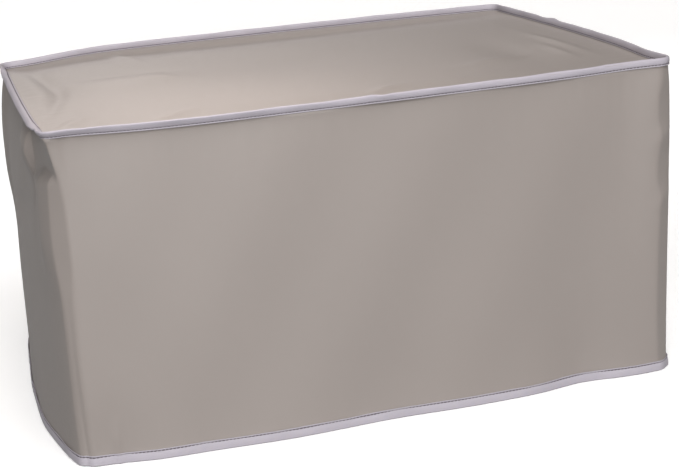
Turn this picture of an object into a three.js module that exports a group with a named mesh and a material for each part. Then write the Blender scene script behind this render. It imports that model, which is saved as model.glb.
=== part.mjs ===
// A fitted cloth cover for a counter-top toaster oven, hanging as it does on the oven.
// A top panel and one wrap-around side wall are sewn together with their raw edges standing
// up in a folded tape, and the same tape is folded round the bottom edge of the wall.
// Millimetres, +Z up, the front faces -Y, and the hem is on Z = 0.
import * as THREE from "three";

// Driving sizes of the cover
const WIDTH = 500;
const DEPTH = 375;
const SEAM_HEIGHT = 263;
const CORNER_RADIUS = 11;

// Driving sizes of the cloth and the tape
const CLOTH = 1.2;
const TAPE = 1.0;
const CLEARANCE = 0.4;
const RAW_EDGE_HEIGHT = 6.4;
const TURN_RADIUS = 1.0;
const TAPE_SOFTENING = 0.7;
const HEM_TAPE_HEIGHT = 8.6;
const HEM_STRAIGHT = 9.6;

// Walls, anticlockwise from above. bow and level: how far the top seam swings out at mid-side
// and how far it lies over SEAM_HEIGHT. belly: how far the wall stands out. reach: how far
// from a corner the belly fills. lean: the outward tilt of the seam's standing edge, in degrees.
const WALLS = [
  { name: "front", bow: 4, level: -3.2, belly: 9, reach: 34, lean: 12 },
  { name: "right", bow: 4, level: 1.2, belly: 8, reach: 40, lean: 4 },
  { name: "back", bow: 5, level: 1.8, belly: 7, reach: 45, lean: 8 },
  { name: "left", bow: 2, level: -1, belly: 22, reach: 60, lean: 38 },
];

// Corners, in the same order, each at the start of its wall. level and lean: as for the walls.
// flare: how far the seam's corner stands out. pull: how far the cloth is drawn in below the
// seam. hem: how far it is drawn in at the bottom edge.
const CORNERS = [
  { name: "front left", level: -0.2, lean: 12, flare: 0, pull: 9, hem: 1.5 },
  { name: "front right", level: -1.5, lean: 8, flare: 4, pull: -6, hem: 2 },
  { name: "back right", level: 1, lean: 6, flare: 1, pull: 5, hem: 5 },
  { name: "back left", level: -4.5, lean: 14, flare: 2, pull: -8, hem: -4 },
];
const LEVEL_REACH = 55;
const BELLY_DROP = 85;
const HEM_FLARE = 3;
const HEM_FLARE_HEIGHT = 28;
const PULL_DROP = 20;
const PULL_REACH = 24;
const TUCK_DROP = 4;
const LEAN_BLEND = 80;

// Folds of the wall, as soft ridges (out above zero) and troughs (below zero). run: distance
// along the wall from the front left corner, anticlockwise. up: height. along and across:
// half sizes of the fold. turn: its slant from level, in degrees.
const WALL_FOLDS = [
  { name: "recess of the hem right of the jog", run: 440, up: 0, along: 44, across: 70, turn: 0, out: -7 },
  { name: "bay in the middle of the front hem", run: 265, up: 0, along: 34, across: 60, turn: 0, out: -2.5 },
  { name: "dart under the front left corner", run: 5, up: 236, along: 30, across: 7, turn: 78, out: -4 },
  { name: "crest beside the dart", run: -62, up: 236, along: 34, across: 9, turn: 84, out: 4 },
  { name: "soft front left corner", run: 10, up: 190, along: 50, across: 16, turn: 88, out: -3 },
  { name: "groove behind the front left corner", run: -16, up: 110, along: 90, across: 11, turn: 90, out: -3 },
  { name: "upper dent of the front right corner", run: 492, up: 226, along: 22, across: 9, turn: 80, out: -3 },
  { name: "lower dent of the front right corner", run: 490, up: 176, along: 22, across: 9, turn: 82, out: -3 },
  { name: "waist of the front right corner", run: 494, up: 118, along: 60, across: 24, turn: 90, out: -3 },
  { name: "pucker above the hem", run: 27, up: 16, along: 14, across: 4, turn: 90, out: 1.5 },
  { name: "kink of the left wall", run: -190, up: 172, along: 60, across: 9, turn: 8, out: -3 },
  { name: "slack of the right wall", run: 690, up: 90, along: 120, across: 26, turn: 30, out: 3 },
  { name: "slack of the back wall", run: 1130, up: 120, along: 150, across: 30, turn: -20, out: 4 },
];

// Folds of the top panel. x and y from its middle, up above zero.
const TOP_FOLDS = [
  { name: "ridge along the left half", x: -130, y: -10, along: 90, across: 22, turn: 4, up: 2.5 },
  { name: "dimple by the front left corner", x: -205, y: -90, along: 30, across: 14, turn: 70, up: -2.2 },
  { name: "crease from the left seam", x: -222, y: -20, along: 24, across: 6, turn: 2, up: -1.8 },
  { name: "pucker by the back seam", x: -150, y: 150, along: 26, across: 10, turn: 20, up: -2.5 },
  { name: "broad swell left of the middle", x: -60, y: 40, along: 120, across: 60, turn: 80, up: 2.5 },
  { name: "hollow right of the middle", x: 90, y: 20, along: 120, across: 70, turn: 85, up: -2.5 },
  { name: "ridge right of the middle", x: 150, y: 0, along: 60, across: 14, turn: 12, up: 2.5 },
  { name: "trough by the right seam", x: 205, y: 60, along: 60, across: 14, turn: -30, up: -2.2 },
  { name: "trough along the front seam", x: 20, y: -168, along: 150, across: 10, turn: 0, up: -1.8 },
];

// Mesh density: cells along the front and along a side wall, those that a corner's two
// halves take, and the rows of the wall below the seam
const FRONT_CELLS = 24;
const SIDE_CELLS = 18;
const HALF_ARC_CELLS = 2;
const EVENNESS = 0.45;
const WALL_DROPS = [2.5, 6, 11, 18, 28, 42, 60, 82, 108, 136, 166, 196, 224, 243];

const UP = new THREE.Vector3(0, 0, 1);

function degrees(angle) {
  return (angle * Math.PI) / 180;
}

function smooth(t) {
  const c = Math.min(1, Math.max(0, t));
  return c * c * (3 - 2 * c);
}

// The rounded rectangle that the cover is cut to

const ARC = (CORNER_RADIUS * Math.PI) / 2;
const STRAIGHTS = [WIDTH, DEPTH, WIDTH, DEPTH].map((side) => side - 2 * CORNER_RADIUS);
const SIDE_RUNS = STRAIGHTS.map((straight) => straight + ARC);
const PERIMETER = SIDE_RUNS.reduce((sum, run) => sum + run, 0);
const HEADINGS = [0, 90, 180, 270].map(degrees);
const ARC_CENTRES = [
  [-1, -1],
  [1, -1],
  [1, 1],
  [-1, 1],
].map(([x, y]) => new THREE.Vector3(x * (WIDTH / 2 - CORNER_RADIUS), y * (DEPTH / 2 - CORNER_RADIUS), 0));

// A place on the plan. side: which wall. a and b: the distances along it from the middle of
// the corner at its start and to the middle of the corner at its end.
function placeAt(side, a) {
  const b = SIDE_RUNS[side] - a;
  const half = ARC / 2;
  const heading = HEADINGS[side];
  const start = ARC_CENTRES[side];
  const end = ARC_CENTRES[(side + 1) % 4];
  const turned = a < half ? (a - half) / CORNER_RADIUS : b < half ? (half - b) / CORNER_RADIUS : 0;
  const facing = heading + turned;
  const outward = new THREE.Vector3(Math.sin(facing), -Math.cos(facing), 0);
  const t = Math.min(1, Math.max(0, (a - half) / STRAIGHTS[side]));
  const point = start.clone().lerp(end, t).addScaledVector(outward, CORNER_RADIUS);
  const before = SIDE_RUNS.slice(0, side).reduce((sum, run) => sum + run, 0);
  return { side, a, b, point, outward, run: before + a };
}

// Distance along a wall at cell i of n, with short cells at both corners
function gradedCell(i, n, side) {
  const arcCell = ARC / 2 / HALF_ARC_CELLS;
  if (i <= HALF_ARC_CELLS) return i * arcCell;
  if (i >= n - HALF_ARC_CELLS) return SIDE_RUNS[side] - (n - i) * arcCell;
  const t = (i - HALF_ARC_CELLS) / (n - 2 * HALF_ARC_CELLS);
  const graded = EVENNESS * t + ((1 - EVENNESS) * (1 - Math.cos(Math.PI * t))) / 2;
  return ARC / 2 + graded * STRAIGHTS[side];
}

const CELLS = [FRONT_CELLS, SIDE_CELLS, FRONT_CELLS, SIDE_CELLS];
const PLACES = CELLS.flatMap((n, side) =>
  Array.from({ length: n }, (_, i) => placeAt(side, gradedCell(i, n, side))),
);

// The form that the cloth takes

function wrapped(distance) {
  return distance - PERIMETER * Math.round(distance / PERIMETER);
}

function foldAt(u, v, fold) {
  const c = Math.cos(degrees(fold.turn));
  const s = Math.sin(degrees(fold.turn));
  const along = (u * c + v * s) / fold.along;
  const across = (v * c - u * s) / fold.across;
  return Math.exp(-(along * along + across * across));
}

// A value that acts near each corner only
function nearCorners(place, reach, value) {
  const near = Math.exp(-((place.a / reach) ** 2)) * value(CORNERS[place.side]);
  return near + Math.exp(-((place.b / reach) ** 2)) * value(CORNERS[(place.side + 1) % 4]);
}

function arch(place) {
  return Math.sin((Math.PI * place.a) / (place.a + place.b));
}

function seamHeight(place) {
  const level = WALLS[place.side].level;
  return SEAM_HEIGHT + level + nearCorners(place, LEVEL_REACH, (corner) => corner.level - level);
}

function seamLean(place) {
  const here = WALLS[place.side].lean;
  const start = CORNERS[place.side].lean - here;
  const end = CORNERS[(place.side + 1) % 4].lean - here;
  return degrees(here + start * (1 - smooth(place.a / LEAN_BLEND)) + end * (1 - smooth(place.b / LEAN_BLEND)));
}

function seamOut(place) {
  return WALLS[place.side].bow * arch(place) + nearCorners(place, PULL_REACH, (corner) => corner.flare);
}

// How far the wall stands out of the plan at a height
function wallOut(place, height) {
  const drop = seamHeight(place) - height;
  const wall = WALLS[place.side];
  const filled = (1 - Math.exp(-place.a / wall.reach)) * (1 - Math.exp(-place.b / wall.reach));
  const belly = wall.belly * (1 - Math.exp(-drop / BELLY_DROP));
  const flare = HEM_FLARE * Math.exp(-height / HEM_FLARE_HEIGHT);
  const down = drop / SEAM_HEIGHT;
  const pull = nearCorners(place, PULL_REACH, (corner) => corner.pull * (1 - down) + corner.hem * down);
  const tuck = Math.tan(seamLean(place)) * TUCK_DROP * (1 - Math.exp(-drop / TUCK_DROP));
  const settled = 1 - Math.exp(-drop / PULL_DROP);
  const folds = WALL_FOLDS.reduce(
    (sum, fold) => sum + fold.out * foldAt(wrapped(place.run - fold.run), height - fold.up, fold),
    0,
  );
  return seamOut(place) - tuck + filled * (belly + flare) + (folds - pull) * settled;
}

// Frames of the seam and of the hem at every place: origin, the way that the edge runs up,
// and the way out of the wall's face

function curveNormals(points) {
  return points.map((point, i) => {
    const ahead = points[(i + 1) % points.length];
    const behind = points[(i + points.length - 1) % points.length];
    const along = ahead.clone().sub(behind).setZ(0).normalize();
    return new THREE.Vector3(along.y, -along.x, 0);
  });
}

function outwardPoint(place, out, height) {
  return place.point.clone().addScaledVector(place.outward, out).setZ(height);
}

const SEAM_POINTS = PLACES.map((place) => outwardPoint(place, seamOut(place), seamHeight(place)));
const SEAM_NORMALS = curveNormals(SEAM_POINTS);
const SEAM_FRAMES = PLACES.map((place, i) => {
  const lean = seamLean(place);
  const out = SEAM_NORMALS[i];
  const rising = out.clone().multiplyScalar(Math.sin(lean)).addScaledVector(UP, Math.cos(lean));
  const face = out.clone().multiplyScalar(Math.cos(lean)).addScaledVector(UP, -Math.sin(lean));
  return { origin: SEAM_POINTS[i], out, rising, face, lean };
});

const HEM_POINTS = PLACES.map((place) => outwardPoint(place, wallOut(place, HEM_STRAIGHT), 0));
const HEM_NORMALS = curveNormals(HEM_POINTS);
const HEM_FRAMES = HEM_POINTS.map((origin, i) => ({ origin, rising: UP, face: HEM_NORMALS[i] }));

function inFrame(frame, across, up) {
  return frame.origin.clone().addScaledVector(frame.face, across).addScaledVector(frame.rising, up);
}

// Closed meshes from rings of points

class Solid {
  constructor() {
    this.positions = [];
    this.indices = [];
  }

  add(points) {
    const first = this.positions.length / 3;
    points.forEach((point) => this.positions.push(point.x, point.y, point.z));
    return points.map((_, i) => first + i);
  }

  quad(a, b, c, d) {
    this.indices.push(a, b, c, a, c, d);
  }

  height(index) {
    return this.positions[3 * index + 2];
  }

  // A band between two rings, the first above the second seen from outside. Its diagonals
  // slant the same way on both faces of a sheet, so that twisted faces stay parallel.
  band(first, second) {
    first.forEach((_, i) => {
      const next = (i + 1) % first.length;
      if (this.height(first[i]) > this.height(second[i])) {
        this.quad(first[i], second[i], second[next], first[next]);
      } else {
        this.quad(second[i], second[next], first[next], first[i]);
      }
    });
  }

  mesh(name, material) {
    const geometry = new THREE.BufferGeometry();
    geometry.setAttribute("position", new THREE.Float32BufferAttribute(this.positions, 3));
    geometry.setIndex(this.indices);
    geometry.computeVertexNormals();
    const mesh = new THREE.Mesh(geometry, material);
    mesh.name = name;
    return mesh;
  }
}

// A ring-shaped solid: the rings follow its section round once
function sweptRing(rings) {
  const solid = new Solid();
  const rows = rings.map((ring) => solid.add(ring));
  rows.forEach((row, i) => solid.band(row, rows[(i + 1) % rows.length]));
  return solid;
}

// A folded tape: the section's points, as distances out of the face and up, in each frame
function foldedTape(frames, section) {
  return sweptRing(section.map(([across, up]) => frames.map((frame) => inFrame(frame, across, up))));
}

// The side wall: middle surface with its facing at each point, then both faces of the cloth

const SEAM_SIDE = (CLEARANCE + CLOTH) / 2;

function facings(rows) {
  return rows.map((row, r) =>
    row.map((_, i) => {
      const around = row[(i + 1) % row.length].clone().sub(row[(i + row.length - 1) % row.length]);
      const below = rows[Math.min(rows.length - 1, r + 1)][i];
      const above = rows[Math.max(0, r - 1)][i];
      return around.cross(above.clone().sub(below)).normalize();
    }),
  );
}

function sideWall() {
  const edge = SEAM_FRAMES.map((frame) => inFrame(frame, SEAM_SIDE, RAW_EDGE_HEIGHT));
  const base = SEAM_FRAMES.map((frame) => inFrame(frame, SEAM_SIDE, 0));
  const hanging = WALL_DROPS.map((drop) =>
    PLACES.map((place, i) => {
      const height = seamHeight(place) - drop;
      return outwardPoint(place, wallOut(place, height) + SEAM_SIDE * Math.cos(SEAM_FRAMES[i].lean), height);
    }),
  );
  const straight = [HEM_STRAIGHT, TAPE + CLEARANCE].map((height) =>
    HEM_POINTS.map((point) => point.clone().setZ(height)),
  );
  const middle = [edge, base, ...hanging, ...straight];
  const facing = facings(middle);
  const seamFacing = SEAM_FRAMES.map((frame) => frame.face);
  facing[0] = seamFacing;
  facing[1] = seamFacing;
  facing[middle.length - 2] = HEM_NORMALS;
  facing[middle.length - 1] = HEM_NORMALS;
  const shifted = (side) =>
    middle.map((row, r) => row.map((point, i) => point.clone().addScaledVector(facing[r][i], (side * CLOTH) / 2)));
  return sweptRing([...shifted(1), ...shifted(-1).reverse()]);
}

// The top panel: a grid inside the seam, and a rim that turns up into the seam's fin

function panelRim() {
  const turned = SEAM_FRAMES.map((frame) => {
    const cornerUp = (CLOTH / 2 - SEAM_SIDE * Math.sin(frame.lean)) / Math.cos(frame.lean);
    const corner = inFrame(frame, -SEAM_SIDE, cornerUp);
    const inward = frame.out.clone().negate();
    const rising = frame.rising;
    const bendUp = inward.clone().add(rising).normalize();
    const bend = TURN_RADIUS * (1 - Math.SQRT1_2);
    return [
      { point: inFrame(frame, -SEAM_SIDE, RAW_EDGE_HEIGHT), facing: frame.face.clone().negate() },
      { point: corner.clone().addScaledVector(rising, TURN_RADIUS), facing: frame.face.clone().negate() },
      { point: corner.clone().addScaledVector(inward.clone().add(rising), bend), facing: bendUp },
      { point: corner.clone().addScaledVector(inward, TURN_RADIUS), facing: UP },
    ];
  });
  return [0, 1, 2, 3].map((row) => turned.map((rows) => rows[row]));
}

function topFolds(x, y) {
  return TOP_FOLDS.reduce((sum, fold) => sum + fold.up * foldAt(x - fold.x, y - fold.y, fold), 0);
}

// The grid of the panel, filled from its rim so that its lines run from seam to seam
function panelGrid(rim) {
  const front = (i) => rim[i];
  const right = (j) => rim[(FRONT_CELLS + j) % rim.length];
  const back = (i) => rim[2 * FRONT_CELLS + SIDE_CELLS - i];
  const left = (j) => rim[(rim.length - j) % rim.length];
  const share = (i, n, side) => gradedCell(i, n, side) / SIDE_RUNS[side];
  return Array.from({ length: SIDE_CELLS + 1 }, (_, j) =>
    Array.from({ length: FRONT_CELLS + 1 }, (_, i) => {
      const u = share(i, FRONT_CELLS, 0);
      const v = share(j, SIDE_CELLS, 1);
      const across = front(i).clone().lerp(back(i), v);
      const deep = left(j).clone().lerp(right(j), u);
      const nearEdge = front(0).clone().lerp(front(FRONT_CELLS), u);
      const farEdge = back(0).clone().lerp(back(FRONT_CELLS), u);
      const point = across.add(deep).sub(nearEdge.lerp(farEdge, v));
      const loose = Math.min(i, j, FRONT_CELLS - i, SIDE_CELLS - j) > 0 ? 1 : 0;
      point.z += loose * topFolds(point.x, point.y);
      return point;
    }),
  );
}

function topPanel() {
  const rim = panelRim();
  const grid = panelGrid(rim[3].map(({ point }) => point));
  const solid = new Solid();
  const sheetFace = (side) => {
    const lift = (side * CLOTH) / 2;
    const rows = grid.map((row) => solid.add(row.map((point) => point.clone().addScaledVector(UP, lift))));
    for (let j = 0; j < SIDE_CELLS; j += 1) {
      for (let i = 0; i < FRONT_CELLS; i += 1) {
        const cell = [rows[j][i], rows[j][i + 1], rows[j + 1][i + 1], rows[j + 1][i]];
        solid.quad(...(side > 0 ? cell : cell.reverse()));
      }
    }
    return [
      ...rows[0].slice(0, FRONT_CELLS),
      ...rows.slice(0, SIDE_CELLS).map((row) => row[FRONT_CELLS]),
      ...rows[SIDE_CELLS].slice(1).reverse(),
      ...rows.slice(1).map((row) => row[0]).reverse(),
    ];
  };
  const rimFace = (side) =>
    rim.slice(0, 3).map((ring) =>
      solid.add(ring.map(({ point, facing }) => point.clone().addScaledVector(facing, (side * CLOTH) / 2))),
    );
  const rings = [sheetFace(1), ...rimFace(1).reverse(), ...rimFace(-1), sheetFace(-1)];
  rings.slice(1).forEach((ring, i) => solid.band(rings[i], ring));
  return solid;
}

// The tapes

const FIN_HALF = CLEARANCE / 2 + CLOTH + CLEARANCE;
const FIN_TOP = RAW_EDGE_HEIGHT + CLEARANCE;
const TAPE_OUTER_FOOT = 0.2;
const TAPE_INNER_FOOT = CLOTH / 2 + TURN_RADIUS;

const TOP_TAPE_SECTION = [
  [FIN_HALF + TAPE, TAPE_OUTER_FOOT],
  [FIN_HALF, TAPE_OUTER_FOOT],
  [FIN_HALF, FIN_TOP],
  [-FIN_HALF, FIN_TOP],
  [-FIN_HALF, TAPE_INNER_FOOT],
  [-FIN_HALF - TAPE, TAPE_INNER_FOOT],
  [-FIN_HALF - TAPE, FIN_TOP + TAPE - TAPE_SOFTENING],
  [-FIN_HALF - TAPE + TAPE_SOFTENING, FIN_TOP + TAPE],
  [FIN_HALF + TAPE - TAPE_SOFTENING, FIN_TOP + TAPE],
  [FIN_HALF + TAPE, FIN_TOP + TAPE - TAPE_SOFTENING],
];

const HEM_HALF = CLOTH / 2 + CLEARANCE;
const HEM_TAPE_SECTION = [
  [HEM_HALF + TAPE, HEM_TAPE_HEIGHT],
  [HEM_HALF + TAPE, TAPE_SOFTENING],
  [HEM_HALF + TAPE - TAPE_SOFTENING, 0],
  [-HEM_HALF - TAPE + TAPE_SOFTENING, 0],
  [-HEM_HALF - TAPE, TAPE_SOFTENING],
  [-HEM_HALF - TAPE, HEM_TAPE_HEIGHT],
  [-HEM_HALF, HEM_TAPE_HEIGHT],
  [-HEM_HALF, TAPE],
  [HEM_HALF, TAPE],
  [HEM_HALF, HEM_TAPE_HEIGHT],
];

// The cover, with its origin at the middle of its footprint

const coated = new THREE.MeshStandardMaterial({ color: 0xa39b91, roughness: 0.5, metalness: 0 });
const coatedTop = coated.clone();
const tape = new THREE.MeshStandardMaterial({ color: 0xc8c3cb, roughness: 0.65, metalness: 0 });
const hemTape = tape.clone();

const pieces = [
  topPanel().mesh("top_panel", coatedTop),
  sideWall().mesh("side_wall", coated),
  foldedTape(SEAM_FRAMES, TOP_TAPE_SECTION).mesh("top_binding", tape),
  foldedTape(HEM_FRAMES, HEM_TAPE_SECTION).mesh("hem_binding", hemTape),
];

const cover = new THREE.Group();
cover.name = "toaster_oven_cover";
cover.add(...pieces);
const middle = new THREE.Box3().setFromObject(cover).getCenter(new THREE.Vector3());
cover.position.set(-middle.x, -middle.y, 0);

export default cover;
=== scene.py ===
import math
from collections import namedtuple

import bpy
import numpy as np
from bpy.props import FloatProperty, FloatVectorProperty, IntProperty, PointerProperty
from mathutils import Matrix, Vector


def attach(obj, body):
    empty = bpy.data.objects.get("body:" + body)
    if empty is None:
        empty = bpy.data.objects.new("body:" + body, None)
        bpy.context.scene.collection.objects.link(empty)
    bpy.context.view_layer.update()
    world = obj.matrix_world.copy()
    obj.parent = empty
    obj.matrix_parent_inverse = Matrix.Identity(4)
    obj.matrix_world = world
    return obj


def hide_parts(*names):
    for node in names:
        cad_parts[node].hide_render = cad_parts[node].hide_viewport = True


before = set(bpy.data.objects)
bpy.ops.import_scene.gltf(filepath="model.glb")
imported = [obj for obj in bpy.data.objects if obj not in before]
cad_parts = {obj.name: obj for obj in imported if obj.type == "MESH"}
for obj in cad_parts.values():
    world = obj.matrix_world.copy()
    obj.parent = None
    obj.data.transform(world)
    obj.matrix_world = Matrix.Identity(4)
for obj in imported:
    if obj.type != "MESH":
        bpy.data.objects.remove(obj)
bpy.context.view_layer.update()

bl_info = {
    "name": "Toaster oven cover",
    "version": (1, 0, 0),
    "blender": (4, 5, 0),
    "location": "View3D > Sidebar > Oven Cover",
    "description": "Sews a fitted cloth cover for a toaster oven, as it hangs in use",
    "category": "Add Mesh",
}


def table(kind, columns, *rows):
    """Rows of a table with named columns."""
    row_kind = namedtuple(kind, columns)
    return [row_kind(*row) for row in rows]


MM = 0.001
BODY = "root"
CUT_MAP = "cut_cloth"
NEEDLE_MARK = "needle_line"

# The form of the hung cover, in millimetres, from the middle of the plan that it is cut to.
# FOOTPRINT_SHIFT is that middle, seen from the middle of the whole footprint. A reach is measured
# along the edge and a drop down from the seam, and both say how soon something has died away.
FOOTPRINT_SHIFT = (3.278, 0.067, 0)
LEVEL_REACH = 55
TURN_REACH = 30
BELLY_DROP = 85
HEM_FLARE = 2
HEM_FLARE_HEIGHT = 28
PULL_DROP = 20
FOLD_DROP = 7
PULL_REACH = 24
SHARP_REACH = 7
SHARP_DROP = 30
TUCK_DROP = 4
LEAN_BLEND = 80
HEM_STRAIGHT = 9.6
HEM_LEAN = -8
RAW_EDGE_HEIGHT = 6.4
SEAM_SIDE = 0.3
PANEL_LIFT = 0.6
PANEL_BEND = 1.4
RIM_FOOT = 3.2
HEM_ROWS_UP = (6.5, 3.5, 1.0)

# The walls, anticlockwise from the front: how far the seam bows out and how far it is above the
# set height, how full the belly is and how far from a corner it fills, and the top tape's lean
# out in degrees
WALLS = table(
    "Wall", "name bow level belly reach lean",
    ("front", 4, -3.2, 6, 34, 12),
    ("right", 4, 1.2, 8, 40, 12),
    ("back", 5, 1.8, 7, 45, -6),
    ("left", 2, -1, 22, 60, 38),
)

# Each corner stands at the start of the wall of the same row. flare and sharp push the seam out,
# softly and at the corner alone. pull and hem draw the wall in, under the seam and at the hem.
CORNERS = table(
    "Corner", "name level lean flare pull hem sharp",
    ("front left", -0.2, 17, 0, 0, -1, 3.5),
    ("front right", -1.5, 5, 5, -4, 3.5, 2.2),
    ("back right", 1, 6, 1, 5, 5, 1.5),
    ("back left", -4.5, 14, 2, -8, -4, 1.5),
)

# Folds of the wall. run is anticlockwise from the front left corner, up is the height,
# along and across are half sizes and beyond is the half size on the other side, turn is the
# slant in degrees, out is above zero for a ridge, and crisp is 2 for a soft fold and nearer
# 1 for a sharp crease. An upright fold has its other side towards the smaller run.
WALL_FOLDS = table(
    "WallFold", "name run up along across beyond turn out crisp",
    ("recess of the hem right of the jog", 418, 0, 32, 70, 70, 0, -7.5, 2),
    ("bay in the middle of the front hem", 265, 0, 44, 60, 60, 0, -3.5, 2),
    ("full part of the front left corner", -32, 204, 22, 50, 42, 0, 6.5, 3),
    ("narrow part of the front left corner", 3, 80, 44, 5, 5, 90, 1.0, 1.6),
    ("droop of the left wall", -110, 205, 90, 30, 22, 0, -2.2, 2),
    ("crest between the dents on the right", 489, 205, 9, 3, 3, 50, 1.2, 1.5),
    ("crest under the dents on the right", 490, 151, 9, 3, 3, 50, 1.2, 1.5),
    ("pucker above the hem", 26, 18, 14, 2.5, 3.5, 88, 1.3, 2),
    ("draw of the hem beside the front left corner", 24, 0, 26, 40, 40, 0, -4, 2),
    ("full part behind the dent", -100, 242, 44, 22, 24, 0, 9, 2.4),
    ("tuck under the dent", -88, 212, 17, 2.5, 5, 90, -1.8, 1.6),
    ("kink of the left wall", -190, 172, 60, 9, 9, 8, -3, 2),
    ("full part of the back left corner", -362, 178, 70, 36, 60, 0, 3.2, 3),
    ("swell of the left hem", -112, 0, 55, 50, 50, 0, 3.2, 2),
    ("slack of the right wall", 690, 90, 120, 26, 26, 30, 3, 2),
    ("slack of the back wall", 1130, 120, 150, 30, 30, -20, 4, 2),
)

# Flats pressed on the corners: the way each faces in degrees (below zero to the left), its middle
# height and half height, and how deep it goes
FLATS = table(
    "Flat", "name facing up half depth",
    ("flat of the front left corner", -44, 190, 46, 2.1),
    ("upper dent of the front right corner", 29, 228, 19, 2.1),
    ("lower dent of the front right corner", 29, 177, 20, 2.1),
    ("turned strip of the front right corner", 34, 78, 66, 1.6),
)
FLAT_SOFTNESS = 0.35

# The dent under the front left corner: where its floor meets the front, how the floor turns and
# tilts from there, the step behind it, the soft lip under it, and how steep each of them is.
# Above the lip the corner is made nearly square, so that the dent has a crisp edge.
DENT_EDGE = 4.9
DENT_EDGE_HEIGHT = 237
DENT_TURN = 0.095
DENT_TILT = 0.2
DENT_REACH = 90
DENT_STEP_RUN = -84
DENT_STEP_HEIGHT = 240
DENT_STEP_SLANT = 0.15
DENT_STEP_STEEP = 2.2
DENT_LIP_HEIGHT = 229
DENT_LIP_SLANT = 0.15
DENT_LIP_STEEP = 0.8
DENT_TOP_STEEP = 0.6
DENT_SOFTNESS = 0.5
DENT_RIM_SOFTNESS = 0.125
DENT_SQUARE = 0.6
DENT_SQUARE_RISE = 12

# Folds of the top panel, from its middle, up above zero
TOP_FOLDS = table(
    "TopFold", "name x y along across beyond turn up crisp",
    ("fall towards the back seam", 0, 170, 300, 34, 11, 0, -5, 2),
    ("swell behind the front seam", -60, -140, 200, 34, 130, 0, 2.4, 2),
    ("swell in front of the crease on the left", -152, 6, 44, 40, 24, -6, 3, 2),
    ("crease on the left", -156, 36, 36, 12, 24, -4, -1.4, 2),
    ("end of the crease on the left", -128, 4, 22, 16, 7, -62, 1.2, 1.8),
    ("bulge by the left seam", -240, 20, 70, 14, 10, 90, 2, 2),
    ("far trough beside the bulge", -225, 62, 84, 9, 8, 94.5, -3, 1.8),
    ("near trough beside the bulge", -225, -38, 54, 7, 9, 80, -2.6, 1.7),
    ("small crease by the left seam", -243, -2, 10, 2.5, 3, -54, -1.4, 1.6),
    ("fold from the back seam", -142, 152, 40, 4, 8, 100, 2.4, 1.7),
    ("hollow in the middle", -10, 10, 60, 40, 40, 10, -1.6, 2),
    ("swell right of the middle", 90, -150, 90, 18, 26, 0, 1, 2),
    ("ridge right of the middle", 142, -90, 36, 8, 12, 20, 1.8, 1.8),
    ("dark patch on the right", 170, -55, 60, 20, 24, 92, -2.4, 2),
    ("long wrinkle by the right seam", 219, -42, 58, 5, 6, 92, 2, 1.6),
    ("short wrinkle by the right seam", 204, -78, 34, 4, 5, 90, 1.4, 1.6),
    ("left pucker at the front seam", -226, -150, 20, 6, 6, 60, 1.6, 1.7),
    ("middle pucker at the front seam", -150, -156, 24, 7, 7, 35, 1.3, 1.7),
    ("right pucker at the front seam", 22, -156, 16, 6, 7, 26, 1.8, 1.7),
)

# Small folds of the tape: run as for the wall, reach along it, rise of its crest, and how
# far it leans out further
TOP_TAPE_FOLDS = table(
    "TapeFold", "name run reach rise out",
    ("outward turn of the front tape on the left", 90, 120, 0, 1.5),
    ("inward turn of the front tape on the right", 410, 110, 0, -0.8),
    ("pucker of the front tape", 247, 5, 0.3, -0.9),
    ("pucker right of it", 257, 4, -0.3, 0.7),
    ("second pucker of the front tape", 306, 9, 0.2, 0.8),
    ("lap of the right tape", 728, 9, 0.9, 1.4),
    ("dip beside the lap", 748, 12, -0.7, -0.6),
    ("curl at the back left corner", 1369, 7, 0.8, 1.8),
)

# The left part of the top tape has fallen over outwards: its wall's place in WALLS, how far it
# turns in degrees and over what height, over what lengths it starts at the back and ends at the
# front, and how far it goes on past the front corner
FALL_SIDE = 3
FALL_TURN = 94
FALL_HEIGHT = 5
FALL_START = 55
FALL_END = 125
FALL_PAST_CORNER = 42
TURN_STEPS = 12

# How near the top's edges its folds die out, and how blunt the crest of a crease is
TOP_SETTLE = 9
FOLD_TIP = 0.15

# Soft unevenness, in millimetres, that no maker's seam is free of. CYCLES are the fewest and the
# most waves round the cover.
SEED = 11
UNEVEN_WAVES = 9
SWELL_CYCLES = (4, 16)
PUCKER_CYCLES = (70, 190)
LINE_CYCLES = (9, 60)
WALL_SWELL = 0.5
SWELL_SLANT = 3000
WALL_PUCKER = 0.16
WALL_PUCKER_DROP = 16
TOP_PUCKER = 0.22
TOP_PUCKER_REACH = 15
TAPE_LEAN = 0.35
TAPE_RISE = 0.12

# Mesh density
FRONT_CELLS = 176
SIDE_CELLS = 136
HALF_ARC_CELLS = 6
CELL_EVENNESS = 0.5
WALL_ROWS = 62
ROW_EVENNESS = 0.5
FIN_ROWS = 4
BEND_ROWS = 4

# Sections of the folded tapes: half widths from the middle of the cloth that they hold, and
# heights. The needle line pinches the tape, and the lip beyond it stands off again. NEEDLE_ROWS
# are the heights of points from the needle line, and further ones start at NEEDLE_CLEAR from it.
NEEDLE_PINCH = 0.2
NEEDLE_REACH = 0.4
NEEDLE_ROWS = (-0.6, -0.3, 0, 0.3, 0.6, 1.1)
NEEDLE_CLEAR = 1.7
TOP_SIDE_ROWS = 7
HEM_SIDE_ROWS = 6
HEM_CREASE_ROWS = (0.5, 0, -0.4)
THREAD_LIFT = 0.05
PILLOW_ROUNDNESS = 0.7
TOP_PILLOW = 0.3
TOP_TAPE_HALF = 1.0
TOP_TAPE_FOOT = 0.9
TOP_TAPE_INNER_FOOT = 1.2
TOP_TAPE_CREST = 7.3
TOP_NEEDLE = 2.2
TOP_LIP = 0.4
HEM_TAPE_HALF = 0.8
HEM_PILLOW = 0.2
HEM_LIFT = 0.15
HEM_TAPE_EDGE = 8.6
HEM_NEEDLE = 7.3
HEM_LIP = 0.5
HEM_CREASE = 1.9


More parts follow.
